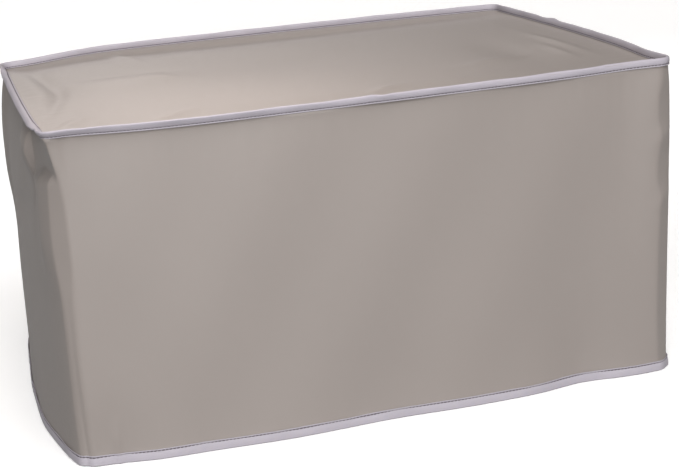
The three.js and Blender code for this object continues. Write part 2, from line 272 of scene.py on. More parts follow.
def smooth(t):
    """Ease from 0 to 1."""
    t = np.clip(t, 0, 1)
    return t * t * (3 - 2 * t)


def graded(t, evenness):
    """Shares from 0 to 1 that lie closer together at both ends."""
    return evenness * t + (1 - evenness) * (1 - np.cos(np.pi * t)) / 2


def fold_at(u, v, fold):
    """How much of a fold there is at u, v from its middle."""
    turn = math.radians(fold.turn)
    along = (u * math.cos(turn) + v * math.sin(turn)) / fold.along
    across = v * math.cos(turn) - u * math.sin(turn)
    across = np.abs(across) / np.where(across < 0, fold.across, fold.beyond)
    return np.exp(-(along**2) - np.sqrt(across**2 + FOLD_TIP**2) ** fold.crisp)


def uneven(cycles, phase_seed):
    """Seeded soft waves with whole cycles: a function of turns from 0 to 1, of about unit size."""
    draw = np.random.default_rng(SEED + phase_seed)
    counts = draw.integers(*cycles, UNEVEN_WAVES)
    phases = draw.uniform(0, 2 * np.pi, UNEVEN_WAVES)
    sizes = draw.uniform(0.5, 1, UNEVEN_WAVES)

    def waves(turns):
        turns = np.asarray(turns)[..., None]
        total = (sizes * np.sin(2 * np.pi * counts * turns + phases)).sum(axis=-1)
        return total / math.sqrt(UNEVEN_WAVES / 2)

    return waves


class Stations:
    """Places round the cover, anticlockwise from the middle of the front left corner.

    Each has the row of its wall (side), its distances along it from the wall's start (a) and end
    (b), and its distance round the cover (run). All lengths are in millimetres.
    """

    def __init__(self, sizes):
        self.width, self.depth = sizes.width / MM, sizes.depth / MM
        self.seam_height, self.radius = sizes.seam_height / MM, sizes.corner_radius / MM
        half_arc = self.radius * math.pi / 4
        self.straights = [side - 2 * self.radius for side in (self.width, self.depth) * 2]
        self.side_runs = [straight + 2 * half_arc for straight in self.straights]
        self.perimeter = sum(self.side_runs)
        parts = [self.along_side(side, n) for side, n in enumerate((FRONT_CELLS, SIDE_CELLS) * 2)]
        self.side = np.concatenate([np.full(len(a), side) for side, a in enumerate(parts)])
        self.a = np.concatenate(parts)
        self.b = np.array(self.side_runs)[self.side] - self.a
        self.run = np.concatenate([[0], np.cumsum(self.side_runs)])[self.side] + self.a
        turned = np.where(self.a < half_arc, self.a - half_arc, 0)
        turned = np.where(self.b < half_arc, half_arc - self.b, turned) / self.radius
        self.outward = self.heading(turned)
        reach = np.array([self.width / 2 - self.radius, self.depth / 2 - self.radius, 0])
        centres = np.array([(-1, -1, 0), (1, -1, 0), (1, 1, 0), (-1, 1, 0)]) * reach
        share = np.clip((self.a - half_arc) / np.array(self.straights)[self.side], 0, 1)[:, None]
        start, end = centres[self.side], centres[(self.side + 1) % 4]
        self.point = start + (end - start) * share + self.radius * self.outward
        self.to_square = self.radius * self.outward / np.abs(self.outward).max(axis=1)[:, None]
        self.to_square -= self.radius * self.outward
        self.count = len(self.a)
        softly = [math.pi / 4 * np.clip(1 - x / TURN_REACH, 0, 1) ** 2 for x in (self.a, self.b)]
        self.softly_outward = self.heading(softly[1] - softly[0])

    def heading(self, turned):
        """Level directions, turned so far past each place's wall."""
        facing = np.radians(90.0) * self.side + turned
        return np.stack([np.sin(facing), -np.cos(facing), 0 * facing], axis=1)

    def along_side(self, side, cells):
        """Distances along a side at which its cells start, closer together at both corners."""
        arc_cell = self.radius * math.pi / 4 / HALF_ARC_CELLS
        arc = arc_cell * np.arange(HALF_ARC_CELLS)
        share = graded(np.linspace(0, 1, cells - 2 * HALF_ARC_CELLS + 1), CELL_EVENNESS)
        straight = arc_cell * HALF_ARC_CELLS + share * self.straights[side]
        return np.concatenate([arc, straight, self.side_runs[side] - arc[:0:-1]])

    def wall(self, column):
        """The column's value for each place's wall."""
        return np.array([getattr(row, column) for row in WALLS], float)[self.side]

    def corners(self, column):
        """The column's values at the corners that start and end each place's wall."""
        values = np.array([getattr(row, column) for row in CORNERS], float)
        return values[self.side], values[(self.side + 1) % 4]

    def near_corners(self, reach, start, end):
        """Values at both corners of each place's wall, dying away from them."""
        return np.exp(-((self.a / reach) ** 2)) * start + np.exp(-((self.b / reach) ** 2)) * end

    def seam_heights(self):
        """Heights of the seam's foot."""
        level = self.wall("level")
        start, end = self.corners("level")
        return self.seam_height + level + self.near_corners(LEVEL_REACH, start - level, end - level)

    def seam_lean(self):
        """How far the top tape leans out, in radians, before any of it falls over."""
        here = self.wall("lean")
        start, end = self.corners("lean")
        from_start = (start - here) * (1 - smooth(self.a / LEAN_BLEND))
        return np.radians(here + from_start + (end - here) * (1 - smooth(self.b / LEAN_BLEND)))

    def seam_out(self, drop=0):
        """How far the seam, or the wall under it, stands out of the plan before its belly."""
        arch = np.sin(np.pi * self.a / (self.a + self.b))
        sharp = self.near_corners(SHARP_REACH, *self.corners("sharp")) * np.exp(-drop / SHARP_DROP)
        return self.wall("bow") * arch + self.near_corners(PULL_REACH, *self.corners("flare")) + sharp

    def wall_out(self, height):
        """How far the wall stands out of the plan at a height."""
        drop = self.seam_heights() - height
        reach = self.wall("reach")
        filled = (1 - np.exp(-self.a / reach)) * (1 - np.exp(-self.b / reach))
        belly = self.wall("belly") * (1 - np.exp(-drop / BELLY_DROP))
        flare = HEM_FLARE * np.exp(-height / HEM_FLARE_HEIGHT)
        down = drop / self.seam_height
        pulls, hems = self.corners("pull"), self.corners("hem")
        start, end = (-pull * (1 - down) - hem * down for pull, hem in zip(pulls, hems))
        tuck = np.tan(self.seam_lean()) * TUCK_DROP * (1 - np.exp(-drop / TUCK_DROP))
        folds = self.near_corners(PULL_REACH, start, end) * (1 - np.exp(-drop / PULL_DROP))
        settled = 1 - np.exp(-drop / FOLD_DROP)
        for fold in WALL_FOLDS:
            away = self.run - fold.run
            away -= self.perimeter * np.round(away / self.perimeter)
            folds = folds + fold.out * fold_at(away, height - fold.up, fold) * settled
        turns = self.run / self.perimeter
        swell = WALL_SWELL * uneven(SWELL_CYCLES, 1)(turns + height / SWELL_SLANT)
        swell = swell + WALL_SWELL * uneven(SWELL_CYCLES, 2)(turns - height / SWELL_SLANT)
        pucker = WALL_PUCKER * uneven(PUCKER_CYCLES, 3)(turns)
        pucker = pucker * (np.exp(-drop / WALL_PUCKER_DROP) + np.exp(-height / WALL_PUCKER_DROP))
        return self.seam_out(drop) - tuck + filled * (belly + flare + swell) + folds + pucker * settled

    def standing(self, out, height):
        """Points that stand so far out of the plan at a height."""
        points = self.point + self.softly_outward * np.broadcast_to(out, self.count)[:, None]
        points[:, 2] = height
        return points


class EdgeFrames:
    """A line that an edge of the cover follows, and the places in the tape that stands on it."""

    def __init__(self, line, lean, fall=0):
        """lean and fall, in radians: how far the tape leans out, and how far it turns besides."""
        along = np.roll(line, -1, axis=0) - np.roll(line, 1, axis=0)
        out = np.stack([along[:, 1], -along[:, 0], 0 * along[:, 0]], axis=1)
        self.line, self.out = line, out / np.linalg.norm(out, axis=1)[:, None]
        self.lean, self.fall = (np.broadcast_to(x, len(line)) for x in (lean, fall))
        self.rising = self.turned(np.sin(self.lean), np.cos(self.lean))

    def turned(self, outward, upward):
        return self.out * outward[:, None] + np.array([0, 0, 1.0]) * upward[:, None]

    def lean_at(self, up):
        """How far the tape leans out at a height on its side."""
        return self.lean + self.fall * smooth(up / FALL_HEIGHT)

    def face_at(self, up):
        """The way out of the tape's outer face."""
        lean = self.lean_at(up)
        return self.turned(np.cos(lean), -np.sin(lean))

    def at(self, across, up):
        """Points so far out of the tape's middle and so far up its side."""
        across, up = (np.broadcast_to(x, len(self.line)) for x in (across, up))
        below = up * (np.arange(TURN_STEPS)[:, None] + 0.5) / TURN_STEPS
        leans = self.lean_at(below)
        risen = self.turned(up * np.sin(leans).mean(axis=0), up * np.cos(leans).mean(axis=0))
        return self.line + risen + self.face_at(up) * across[:, None]


def seam_frames(stations):
    """The top seam's line, with the tape on the left fallen over."""
    line = stations.standing(stations.seam_out(), stations.seam_heights())
    starting = smooth(stations.a / FALL_START) * (stations.side == FALL_SIDE)
    fallen = starting * smooth((FALL_PAST_CORNER + stations.b) / FALL_END)
    fallen += smooth((FALL_PAST_CORNER - stations.a) / FALL_END) * (stations.side == (FALL_SIDE + 1) % 4)
    return EdgeFrames(line, stations.seam_lean(), math.radians(FALL_TURN) * fallen)


def hem_frames(stations):
    """The hem's line on the floor, with its tape leaning in."""
    lean = math.radians(HEM_LEAN)
    out = stations.wall_out(HEM_STRAIGHT) - HEM_STRAIGHT * math.tan(lean)
    return EdgeFrames(stations.standing(out, 0), lean)


# Meshes

def closed_quads(rows, count):
    """Quads between rows of points that run anticlockwise and close, the first row on top."""
    j, i = np.meshgrid(np.arange(rows - 1), np.arange(count), indexing="ij")
    here, after = j * count, (i + 1) % count
    quads = np.stack([here + i, here + count + i, here + count + after, here + after], axis=-1)
    return quads.reshape(-1, 4)


def closed_maps(stations, downs):
    """Each quad corner's place on the flat cloth, for closed_quads. downs: how far down each row is."""
    downs = np.stack([np.broadcast_to(down, stations.count) for down in downs])
    here = np.broadcast_to(stations.run, downs.shape)
    after = np.broadcast_to(np.append(stations.run[1:], stations.perimeter), downs.shape)
    downs_after = np.roll(downs, -1, axis=1)
    corners = [(here, downs, 0), (here, downs, 1), (after, downs_after, 1), (after, downs_after, 0)]
    rows = len(downs) - 1
    maps = [np.stack([u[j : j + rows], -v[j : j + rows]], axis=-1) for u, v, j in corners]
    return np.stack(maps, axis=2).reshape(-1, 4, 2)


def thickened(points, quads, maps, thickness):
    """A closed sheet, with that thickness centred on a surface of quads."""
    n = len(points)
    corner = points[quads]
    facing = np.cross(corner[:, 2] - corner[:, 0], corner[:, 3] - corner[:, 1])
    normals = np.zeros_like(points)
    for k in range(4):
        np.add.at(normals, quads[:, k], facing)
    normals *= thickness / 2 / np.linalg.norm(normals, axis=1)[:, None]
    a, b = quads.ravel(), np.roll(quads, -1, axis=1).ravel()
    edge = ~np.isin(a.astype(np.int64) * n + b, b.astype(np.int64) * n + a)
    map_a, map_b = maps.reshape(-1, 2)[edge], np.roll(maps, -1, axis=1).reshape(-1, 2)[edge]
    a, b = a[edge], b[edge]
    rim = np.stack([b, a, a + n, b + n], axis=1)
    rim_map = np.stack([map_b, map_a, map_a, map_b], axis=1)
    both = np.concatenate([points + normals, points - normals])
    all_quads = np.concatenate([quads, quads[:, ::-1] + n, rim])
    return both, all_quads, np.concatenate([maps, maps[:, ::-1], rim_map])


def mesh_piece(name, points, quads, maps, material):
    """A smooth piece, from points in millimetres from the middle of the plan."""
    mesh = bpy.data.meshes.new(name)
    mesh.vertices.add(len(points))
    mesh.vertices.foreach_set("co", ((points + FOOTPRINT_SHIFT) * MM).astype(np.float32).ravel())
    mesh.loops.add(quads.size)
    mesh.loops.foreach_set("vertex_index", quads.astype(np.int32).ravel())
    mesh.polygons.add(len(quads))
    mesh.polygons.foreach_set("loop_start", np.arange(0, quads.size, 4, dtype=np.int32))
    mesh.polygons.foreach_set("use_smooth", np.ones(len(quads), bool))
    mesh.update(calc_edges=True)
    flat = mesh.uv_layers.new(name=CUT_MAP)
    flat.data.foreach_set("uv", (maps * MM).astype(np.float32).ravel())
    mesh.materials.append(material)
    mesh.validate()
    piece = bpy.data.objects.new(name, mesh)
    bpy.context.scene.collection.objects.link(piece)
    return piece


def sewn_in(piece, node=None):
    """Lets a finished piece ride on the cover, in the place of its solid if it has one."""
    if node:
        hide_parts(node)
    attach(piece, BODY)
    return piece


def softly_above_zero(x, softness):
    """The greater of x and 0, with the bend rounded off."""
    return softness * np.logaddexp(0, x / softness)


def flattened(points, flat, height):
    """Presses a flat on a corner of one row of the wall."""
    depth = flat.depth * math.exp(-(((height - flat.up) / flat.half) ** 4))
    facing = math.radians(flat.facing)
    way = np.array([math.sin(facing), -math.cos(facing), 0])
    reached = points @ way
    return points - way * softly_above_zero(reached - reached.max() + depth, FLAT_SOFTNESS)[:, None]


def dented(points, stations, drop):
    """Presses the wall in under the front left corner, one row of it."""
    run = np.where(stations.run > stations.perimeter / 2, stations.run - stations.perimeter, stations.run)
    square = DENT_SQUARE * smooth((points[:, 2] - DENT_LIP_HEIGHT) / DENT_SQUARE_RISE)
    points = points + stations.to_square * (square * (np.abs(run) < DENT_REACH))[:, None]
    height, behind = points[:, 2], points[:, 1] + stations.depth / 2
    tilted = DENT_TILT * (height - DENT_EDGE_HEIGHT) * (1 - np.clip(behind / DENT_REACH, 0, 1))
    floor = stations.width / 2 - DENT_EDGE + DENT_TURN * behind + tilted
    step = run - DENT_STEP_RUN - DENT_STEP_SLANT * (height - DENT_STEP_HEIGHT)
    lip = height - DENT_LIP_HEIGHT - DENT_LIP_SLANT * run
    limits = [
        softly_above_zero(-points[:, 0] - floor, DENT_SOFTNESS),
        DENT_STEP_STEEP * step,
        DENT_LIP_STEEP * lip,
        DENT_TOP_STEEP * drop,
    ]
    least = -DENT_SOFTNESS * np.logaddexp.reduce([-limit / DENT_SOFTNESS for limit in limits], axis=0)
    pressed = points.copy()
    pressed[:, 0] += softly_above_zero(least, DENT_RIM_SOFTNESS)
    return pressed


def side_wall_surface(stations):
    """Rows of points down the wall's middle surface, and how far down the cloth each row is."""
    seam, hem = seam_frames(stations), hem_frames(stations)
    heights = stations.seam_heights()
    rows = [seam.at(SEAM_SIDE, up) for up in np.linspace(RAW_EDGE_HEIGHT, 0, FIN_ROWS, endpoint=False)]
    for share in graded(np.linspace(0, 1, WALL_ROWS), ROW_EVENNESS):
        drop = share * (heights - HEM_STRAIGHT)
        slant = np.arctan(np.tan(seam.lean) * np.exp(-drop / TUCK_DROP))
        side = SEAM_SIDE * (1 - share)
        out = stations.wall_out(heights - drop) + side * np.cos(slant)
        row = stations.standing(out, heights - drop - side * np.sin(slant))
        for flat in FLATS:
            row = flattened(row, flat, row[:, 2].mean())
        rows.append(dented(row, stations, drop))
    rows += [hem.at(0, up) for up in HEM_ROWS_UP]
    rows = np.stack(rows)
    steps = np.linalg.norm(np.diff(rows, axis=0), axis=2)
    return rows, np.concatenate([np.zeros((1, stations.count)), np.cumsum(steps, axis=0)])


def panel_rim(seam):
    """Rows of points from the panel's raw edge down the seam and round the bend to its flat part."""
    lift = (PANEL_LIFT - SEAM_SIDE * np.sin(seam.lean)) / np.cos(seam.lean)
    corner = seam.at(-SEAM_SIDE, lift)
    rim = [seam.at(-SEAM_SIDE, up) for up in np.linspace(RAW_EDGE_HEIGHT, RIM_FOOT, FIN_ROWS)]
    for t in np.linspace(0, 1, BEND_ROWS + 1):
        rim.append(corner + PANEL_BEND * ((1 - t) ** 2 * seam.rising - t**2 * seam.out))
    return rim


def panel_grid(stations, edge):
    """A grid of points that fills a closed edge, before it has folds."""
    across, deep = FRONT_CELLS, SIDE_CELLS
    front, right = edge[: across + 1], edge[across : across + deep + 1]
    back = edge[across + deep : 2 * across + deep + 1][::-1]
    left = np.concatenate([edge[2 * across + deep :], edge[:1]])[::-1]
    u = np.append(stations.a[:across] / stations.side_runs[0], 1)[None, :, None]
    v = np.append(stations.a[across : across + deep] / stations.side_runs[1], 1)[:, None, None]
    grid = front * (1 - v) + back * v + left[:, None] * (1 - u) + right[:, None] * u
    return grid - ((front[0] * (1 - u) + front[-1] * u) * (1 - v) + (back[0] * (1 - u) + back[-1] * u) * v)


def panel_folds(stations, x, y):
    """How far the top panel's folds and puckers lift it."""
    half_width, half_depth = stations.width / 2, stations.depth / 2
    settled = 1 - np.exp(-np.clip(half_width - np.abs(x), 0, None) / TOP_SETTLE)
    settled *= 1 - np.exp(-np.clip(half_depth - np.abs(y), 0, None) / TOP_SETTLE)
    folds = sum(fold.up * fold_at(x - fold.x, y - fold.y, fold) for fold in TOP_FOLDS)
    edges = ((x, half_depth + y), (x, half_depth - y), (y, half_width + x), (y, half_width - x))
    for seed, (place, from_edge) in enumerate(edges, 4):
        pucker = uneven(PUCKER_CYCLES, seed)(place / stations.perimeter)
        folds = folds + TOP_PUCKER * pucker * np.exp(-np.clip(from_edge, 0, None) / TOP_PUCKER_REACH)
    return folds * settled


def top_panel_surface(stations):
    """The panel's middle surface as points, quads and flat places: a grid, and a turned-up rim."""
    seam = seam_frames(stations)
    *rim, edge = panel_rim(seam)
    grid = panel_grid(stations, edge)
    grid[1:-1, 1:-1, 2] += panel_folds(stations, grid[..., 0], grid[..., 1])[1:-1, 1:-1]
    ids = np.arange(grid[..., 0].size).reshape(grid.shape[:2])
    cells = [ids[:-1, :-1], ids[:-1, 1:], ids[1:, 1:], ids[1:, :-1]]
    quads = [np.stack(cells, axis=-1).reshape(-1, 4)]
    border = np.concatenate([ids[0, :-1], ids[:-1, -1], ids[-1, :0:-1], ids[:0:-1, 0]])
    n = stations.count
    rings = [ids.size + k * n + np.arange(n) for k in range(len(rim))] + [border]
    for upper, lower in zip(rings, rings[1:]):
        quads.append(np.stack([upper, np.roll(upper, -1), np.roll(lower, -1), lower], axis=1))
    points = np.concatenate([grid.reshape(-1, 3), *rim])
    flat = points[:, :2].copy()
    for ring, row in zip(rings, rim):
        beyond = np.linalg.norm(row - edge, axis=1)[:, None]
        flat[ring] = (edge + seam.out * beyond)[:, :2]
    quads = np.concatenate(quads)
    return points, quads, flat[quads]


def near_needle(up, needle):
    """1 on the needle line, dying away from it."""
    return math.exp(-(((up - needle) / NEEDLE_REACH) ** 2))


def tape_half_width(up, half, pillow, needle, crest, foot, lip):
    """Half the width of a folded tape's middle surface at a height on its side."""
    pinched = half - NEEDLE_PINCH * near_needle(up, needle)
    if (up - needle) * (foot - needle) > 0:
        return pinched + lip * (up - needle) / (foot - needle)
    return pinched + pillow * math.sin(math.pi * min(1, (up - needle) / (crest - needle))) ** PILLOW_ROUNDNESS


def uneven_line(stations, folds, crest):
    """How much further out a tape leans and how much higher it is at a height, place by place."""
    turns = stations.run / stations.perimeter
    lean, rise = TAPE_LEAN * uneven(LINE_CYCLES, 8)(turns), TAPE_RISE * uneven(LINE_CYCLES, 9)(turns)
    for fold in folds:
        near = np.exp(-(((stations.run - fold.run) / fold.reach) ** 2))
        lean, rise = lean + fold.out * near, rise + fold.rise * near
    return lambda up: (lean * (up / crest) ** 2, rise * up / crest)


def folded_tape(name, stations, frames, section, needle, thickness, material, folds=()):
    """A piece of tape folded along an edge, with its needle lines marked."""
    wander = uneven_line(stations, folds, max(up for across, up in section))
    rows = []
    for across, up in section:
        lean, rise = wander(up)
        rows.append(frames.at(across + lean, up + rise))
    rows = np.stack(rows)
    steps = [math.dist(a, b) for a, b in zip(section, section[1:])]
    flat = closed_maps(stations, np.concatenate([[0], np.cumsum(steps)]))
    quads = closed_quads(len(rows), stations.count)
    piece = mesh_piece(name, *thickened(rows.reshape(-1, 3), quads, flat, thickness), material)
    marked = [near_needle(up, needle) for across, up in section]
    marked = np.tile(np.repeat(marked, stations.count), 2)
    mark = piece.data.attributes.new(NEEDLE_MARK, "FLOAT", "POINT")
    mark.data.foreach_set("value", marked.astype(np.float32))
    return piece


def top_tape_section():
    """From the inner foot, over the crest, to the outer foot."""
    shoulder = TOP_TAPE_CREST - TOP_TAPE_HALF
    near = [TOP_NEEDLE + d for d in NEEDLE_ROWS]
    rest = np.linspace(TOP_NEEDLE + NEEDLE_CLEAR, shoulder, TOP_SIDE_ROWS).tolist()

    def side(foot):
        shape = TOP_TAPE_HALF, TOP_PILLOW, TOP_NEEDLE, shoulder, foot, TOP_LIP
        ups = [foot, (foot + near[0]) / 2] + near + rest
        return [(tape_half_width(up, *shape), up) for up in ups]

    crest = [(TOP_TAPE_HALF * math.cos(t), shoulder + TOP_TAPE_HALF * math.sin(t))
             for t in np.radians([150, 120, 90, 60, 30])]
    inner = [(-across, up) for across, up in side(TOP_TAPE_INNER_FOOT)]
    return inner + crest + side(TOP_TAPE_FOOT)[::-1]


def hem_tape_section(thickness):
    """From the outer upper edge, round the bottom, to the inner upper edge."""
    bottom = HEM_TAPE_HALF + thickness / 2 + HEM_LIFT
    near = [HEM_NEEDLE - d for d in NEEDLE_ROWS]
    above_crease, *at_crease = (HEM_CREASE + d for d in HEM_CREASE_ROWS)
    rest = np.linspace(HEM_NEEDLE - NEEDLE_CLEAR, above_crease, HEM_SIDE_ROWS).tolist() + at_crease
    shape = HEM_TAPE_HALF, HEM_PILLOW, HEM_NEEDLE, HEM_CREASE, HEM_TAPE_EDGE, HEM_LIP
    ups = [HEM_TAPE_EDGE, (HEM_TAPE_EDGE + near[0]) / 2] + near + rest
    outer = [(tape_half_width(up, *shape), up) for up in ups]
    fold = [(HEM_TAPE_HALF * math.cos(t), bottom - HEM_TAPE_HALF * math.sin(t))
            for t in np.radians([0, 30, 60, 90, 120, 150, 180])]
    return outer + fold + [(-across, up) for across, up in outer[::-1]]


# Materials

class Nodes:
    """Places and links nodes in a tree, one call for each."""

    def __init__(self, tree):
        self.tree = tree

    def fill(self, node, inputs):
        """Links the inputs that are sockets and sets the others."""
        for key, value in inputs.items():
            if isinstance(value, bpy.types.NodeSocket):
                self.tree.links.new(value, node.inputs[key])
            else:
                node.inputs[key].default_value = value

    def add(self, kind, inputs=None, **settings):
        node = self.tree.nodes.new(kind)
        for name, value in settings.items():
            setattr(node, name, value)
        self.fill(node, inputs or {})
        return node

    def math(self, operation, *values):
        return self.add("ShaderNodeMath", dict(enumerate(values)), operation=operation).outputs[0]

    def mix(self, share, low, high):
        return self.add("ShaderNodeMix", {0: share, 6: low, 7: high}, data_type="RGBA").outputs[2]

    def group(self, maker, inputs):
        kind = self.tree.bl_idname.replace("Tree", "Group")
        return self.add(kind, inputs, node_tree=shared_group(maker)).outputs


def new_group(name, kind, inputs, outputs):
    """An empty node group with its sockets. inputs and outputs: name, socket type, default."""
    tree = bpy.data.node_groups.new(name, kind)
    for in_out, sockets in (("INPUT", inputs), ("OUTPUT", outputs)):
        for socket_name, socket_type, *default in sockets:
            socket_type = "NodeSocket" + socket_type
            socket = tree.interface.new_socket(socket_name, in_out=in_out, socket_type=socket_type)
            if default:
                socket.default_value = default[0]
    nodes = Nodes(tree)
    return nodes, nodes.add("NodeGroupInput").outputs, nodes.add("NodeGroupOutput")


def shared_group(maker):
    """The node group that bears its maker's name, made if it isn't there yet."""
    return bpy.data.node_groups.get(maker.__name__) or maker()


def woven_threads():
    """Over-and-under threads on the flat cloth: their height, and a mask of the gaps."""
    nodes, given, result = new_group(
        "woven_threads", "ShaderNodeTree",
        [("Flat Place", "Vector"), ("Thread Pitch", "Float", 0.0006), ("Turn", "Float", 0.0)],
        [("Height", "Float"), ("Gaps", "Float")])
    turn = {"Vector": given["Flat Place"], "Angle": given["Turn"]}
    turned = nodes.add("ShaderNodeVectorRotate", turn, rotation_type="Z_AXIS").outputs[0]
    scale = nodes.math("DIVIDE", 1.0, given["Thread Pitch"])
    scaled = nodes.add("ShaderNodeVectorMath", {0: turned, "Scale": scale}, operation="SCALE").outputs[0]
    part = nodes.add("ShaderNodeSeparateXYZ", {0: scaled}).outputs
    warp, weft = (nodes.math("ABSOLUTE", nodes.math("SINE", nodes.math("MULTIPLY", part[k], math.pi)))
                  for k in (0, 1))
    check = nodes.math("ADD", nodes.math("FLOOR", part[0]), nodes.math("FLOOR", part[1]))
    over = nodes.math("PINGPONG", check, 1.0)
    lower = nodes.math("MULTIPLY", warp, nodes.math("SUBTRACT", 1.0, over))
    upper = nodes.math("MULTIPLY", weft, over)
    gaps = nodes.math("SUBTRACT", 1.0, nodes.math("MULTIPLY", warp, weft))
    nodes.fill(result, {"Height": nodes.math("ADD", lower, upper), "Gaps": nodes.math("POWER", gaps, 3.0)})
    return nodes.tree


def uneven_tone():
    """Patches of tone at two sizes, from 0 to 1, for dye and handling that aren't quite even."""
    nodes, given, result = new_group(
        "uneven_tone", "ShaderNodeTree",
        [("Place", "Vector"), ("Patch Size", "Float", 0.12), ("Fleck Size", "Float", 0.004)],
        [("Patches", "Float"), ("Flecks", "Float")])
    for size, out, detail in (("Patch Size", "Patches", 2.0), ("Fleck Size", "Flecks", 4.0)):
        scale = nodes.math("DIVIDE", 1.0, given[size])
        noise = nodes.add("ShaderNodeTexNoise", {"Vector": given["Place"], "Scale": scale, "Detail": detail})
        nodes.fill(result, {out: noise.outputs[0]})
    return nodes.tree


def new_material(name):
    material = bpy.data.materials.new(name)
    material.use_nodes = True
    material.node_tree.nodes.clear()
    return material, Nodes(material.node_tree)


def finish_material(nodes, inputs):
    shader = nodes.add("ShaderNodeBsdfPrincipled", inputs)
    nodes.add("ShaderNodeOutputMaterial", {"Surface": shader.outputs[0]})


def shared_material(maker, look):
    """The material that bears its maker's name, made if it isn't there yet."""
    return bpy.data.materials.get(maker.__name__) or maker(look)


def tinted(colour, share):
    """A colour made darker or lighter, ready for a socket."""
    return [min(1, c * share) for c in colour[:3]] + [1]


def woven(nodes, look, turn=0.0, tone_sizes=None):
    """What both cloths share: their flat place, colour with painted shade between the threads, roughness, and
    relief in millimetres.
    """
    flat = nodes.add("ShaderNodeUVMap", uv_map=CUT_MAP).outputs[0]
    place = nodes.add("ShaderNodeTexCoord").outputs["Object"]
    weave = nodes.group(woven_threads, {"Flat Place": flat, "Thread Pitch": look.thread_pitch, "Turn": turn})
    tone = nodes.group(uneven_tone, {"Place": place, **(tone_sizes or {})})
    deep, pale = (tinted(look.colour, share) for share in (1 - look.unevenness, 1 + look.unevenness))
    # Painted shade: the colour darkens in the gaps between the threads, where shadow falls among them
    gaps = nodes.math("MULTIPLY", weave["Gaps"], look.gap_depth)
    dyed = nodes.mix(tone["Patches"], deep, pale)
    colour = nodes.mix(gaps, dyed, tinted(look.colour, look.gap_shade))
    rough = nodes.math("ADD", nodes.math("MULTIPLY", tone["Flecks"], look.roughness_spread),
                       look.roughness - look.roughness_spread / 2)
    relief = nodes.math("ADD", nodes.math("MULTIPLY", weave["Height"], look.weave_relief / MM),
                        nodes.math("MULTIPLY", tone["Flecks"], look.crinkle_relief / MM))
    return flat, colour, rough, relief


def finish_cloth(nodes, colour, rough, relief, levels):
    bump = nodes.add("ShaderNodeBump", {"Strength": 1.0, "Distance": MM, "Height": relief}).outputs[0]
    finish_material(nodes, {"Base Color": colour, "Roughness": rough, "Normal": bump, **levels})


def coated_cloth(look):
    """Close-woven cloth with a satin coating."""
    material, nodes = new_material("coated_cloth")
    flat, colour, rough, relief = woven(nodes, look)
    levels = {"Specular IOR Level": 0.5, "Sheen Weight": 0.08, "Sheen Roughness": 0.5}
    finish_cloth(nodes, colour, rough, relief, levels)
    return material


def bias_tape(look):
    """Soft matt tape, cut on the bias, puckered along its needle lines, where its colour is darkened by a
    painted shadow of the stitch groove.
    """
    material, nodes = new_material("bias_tape")
    sizes = {"Patch Size": 0.03, "Fleck Size": 0.003}
    flat, colour, rough, relief = woven(nodes, look, math.radians(45), sizes)
    # Painted shade: along the needle line the tape's colour is darkened towards a shadow tone, standing in
    # for the shadow in the stitch groove. The same mask also drives the real needle puckers in the relief.
    needle = nodes.add("ShaderNodeAttribute", attribute_name=NEEDLE_MARK).outputs["Fac"]
    depth = nodes.math("MULTIPLY", needle, look.needle_depth)
    colour = nodes.mix(depth, colour, tinted(look.colour, look.needle_shade))
    run = nodes.add("ShaderNodeSeparateXYZ", {0: flat}).outputs[0]
    waves = nodes.math("SINE", nodes.math("MULTIPLY", run, 2 * math.pi / look.pucker_pitch))
    puckers = nodes.math("MULTIPLY", nodes.math("MULTIPLY", waves, needle), look.pucker_relief / MM)
    levels = {"Specular IOR Level": 0.4, "Sheen Weight": 0.1, "Sheen Roughness": 0.4}
    finish_cloth(nodes, colour, rough, nodes.math("ADD", relief, puckers), levels)
    return material


def sewing_thread(look):
    """Twisted thread, darker than the tape."""
    material, nodes = new_material("sewing_thread")
    place = nodes.add("ShaderNodeTexCoord").outputs["Object"]
    tone = nodes.group(uneven_tone, {"Place": place, "Patch Size": 0.004, "Fleck Size": 0.0004})
    colour = nodes.mix(tone["Flecks"], tinted(look.colour, 0.7), tinted(look.colour, 1))
    twist = {"Strength": 0.4, "Distance": 0.0001, "Height": tone["Flecks"]}
    bump = nodes.add("ShaderNodeBump", twist).outputs[0]
    finish_material(nodes, {"Base Color": colour, "Roughness": 0.6, "Normal": bump})
    return material


# Stitches: the slant of each is between these shares of the slant that is set
LEAST_SLANT = 0.6
MOST_SLANT = 1.4


